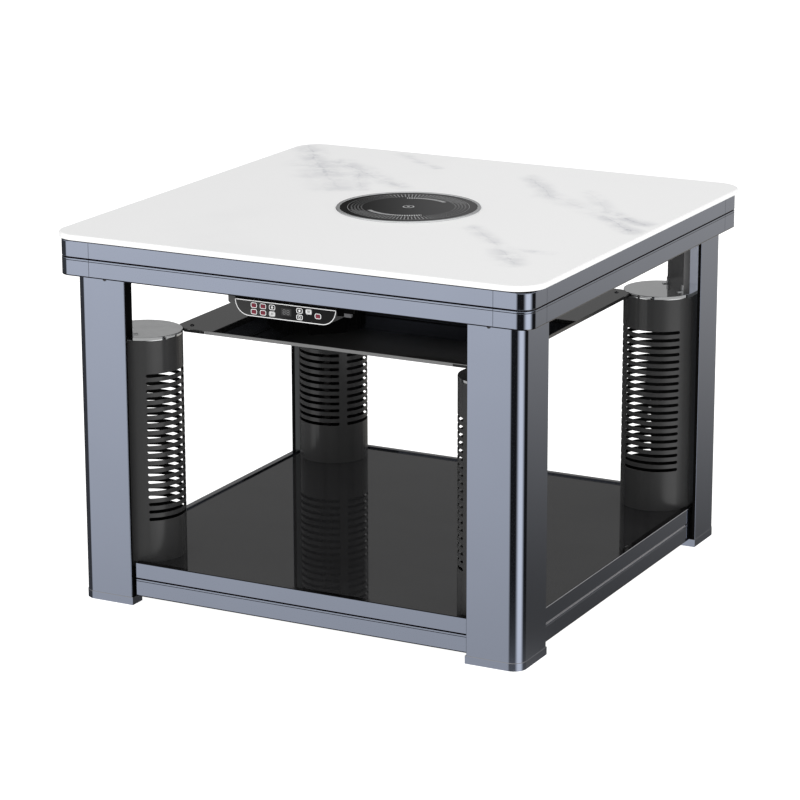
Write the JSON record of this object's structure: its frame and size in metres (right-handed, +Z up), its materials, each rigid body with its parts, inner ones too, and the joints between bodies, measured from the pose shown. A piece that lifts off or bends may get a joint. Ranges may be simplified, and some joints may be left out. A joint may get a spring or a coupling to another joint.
{
  "type": "electric heating table",
  "caption": "Square metal-framed heating table with a white stone top, a round hob let into it, a slotted heater column in each corner, a heat shield, a glass shelf and a key panel.",
  "frame": {"origin": "on the floor below the table's centre", "axes": "+Z up, -Y is the side with the key panel, +X to the right seen from that side"},
  "size_m": [0.9, 0.9, 0.6522],
  "materials": {
    "stone": "polished sintered stone, white with faint grey veins",
    "trim": "satin",
    "hob_glass": "gloss glass ceramic",
    "hob_shell": "matt",
    "coil": "lacquered winding",
    "fan": "matt",
    "shelf_glass": "gloss, black backed",
    "shield": "gloss",
    "dark_plastic": "matt",
    "fascia": "gloss",
    "board": "satin",
    "grey_plastic": "satin",
    "aluminium": "satin anodised",
    "heater_paint": "satin",
    "polished_steel": "polished",
    "ceramic": "matt ceramic",
    "black_steel": "satin",
    "key": "gloss",
    "zinc": "satin"
  },
  "bodies": {
    "table": {"stone_top": "stone", "hob_trim_ring": "trim", "hob_glass": "hob_glass", "hob_housing": "hob_shell", "hob_coil": "coil", "lower_shelf": "shelf_glass", "heat_shield": "shield", "control_box": "dark_plastic", "control_fascia": "fascia", "display_window": "fascia", "control_board": "board", "sensor_clip": "grey_plastic", "apron_front": "aluminium", "rail_front": "aluminium", "apron_right": "aluminium", "rail_right": "aluminium", "apron_back": "aluminium", "rail_back": "aluminium", "apron_left": "aluminium", "rail_left": "aluminium", "apron_corner_back_right": "aluminium", "leg_back_right": "aluminium", "heater_shell_back_right": "heater_paint", "heater_cap_back_right": "polished_steel", "heater_element_back_right": "ceramic", "corner_strut_back_right": "black_steel", "apron_corner_back_left": "aluminium", "leg_back_left": "aluminium", "heater_shell_back_left": "heater_paint", "heater_cap_back_left": "polished_steel", "heater_element_back_left": "ceramic", "corner_strut_back_left": "black_steel", "apron_corner_front_left": "aluminium", "leg_front_left": "aluminium", "heater_shell_front_left": "heater_paint", "heater_cap_front_left": "polished_steel", "heater_element_front_left": "ceramic", "corner_strut_front_left": "black_steel", "apron_corner_front_right": "aluminium", "leg_front_right": "aluminium", "heater_shell_front_right": "heater_paint", "heater_cap_front_right": "polished_steel", "heater_element_front_right": "ceramic", "corner_strut_front_right": "black_steel", "foot_caps": "aluminium", "corner_blocks": "dark_plastic", "strut_clips": "zinc", "shield_brackets": "black_steel", "screws": "zinc"},
    "fan": {"hob_fan": "fan"},
    "key_1": {"key_1": "key"},
    "key_2": {"key_2": "key"},
    "key_3": {"key_3": "key"},
    "key_4": {"key_4": "key"},
    "key_5": {"key_5": "key"},
    "key_6": {"key_6": "key"},
    "key_7": {"key_7": "key"},
    "key_8": {"key_8": "key"},
    "key_9": {"key_9": "key"},
    "key_10": {"key_10": "key"}
  },
  "joints": [
    {"name": "fan_spin", "type": "hinge", "parent": "table", "child": "fan", "pos_m": [0, 0, 0.6], "axis": [0, 0, 1], "continuous": true},
    {"name": "key_1_press", "type": "slide", "parent": "table", "child": "key_1", "axis": [0, 1, 0], "range_m": [0, 0.0006], "stiffness_N_per_m": 800},
    {"name": "key_2_press", "type": "slide", "parent": "table", "child": "key_2", "axis": [0, 1, 0], "range_m": [0, 0.0006], "stiffness_N_per_m": 800},
    {"name": "key_3_press", "type": "slide", "parent": "table", "child": "key_3", "axis": [0, 1, 0], "range_m": [0, 0.0006], "stiffness_N_per_m": 800},
    {"name": "key_4_press", "type": "slide", "parent": "table", "child": "key_4", "axis": [0, 1, 0], "range_m": [0, 0.0006], "stiffness_N_per_m": 800},
    {"name": "key_5_press", "type": "slide", "parent": "table", "child": "key_5", "axis": [0, 1, 0], "range_m": [0, 0.0006], "stiffness_N_per_m": 800},
    {"name": "key_6_press", "type": "slide", "parent": "table", "child": "key_6", "axis": [0, 1, 0], "range_m": [0, 0.0006], "stiffness_N_per_m": 800},
    {"name": "key_7_press", "type": "slide", "parent": "table", "child": "key_7", "axis": [0, 1, 0], "range_m": [0, 0.0006], "stiffness_N_per_m": 800},
    {"name": "key_8_press", "type": "slide", "parent": "table", "child": "key_8", "axis": [0, 1, 0], "range_m": [0, 0.0006], "stiffness_N_per_m": 800},
    {"name": "key_9_press", "type": "slide", "parent": "table", "child": "key_9", "axis": [0, 1, 0], "range_m": [0, 0.0006], "stiffness_N_per_m": 800},
    {"name": "key_10_press", "type": "slide", "parent": "table", "child": "key_10", "axis": [0, 1, 0], "range_m": [0, 0.0006], "stiffness_N_per_m": 800}
  ]
}
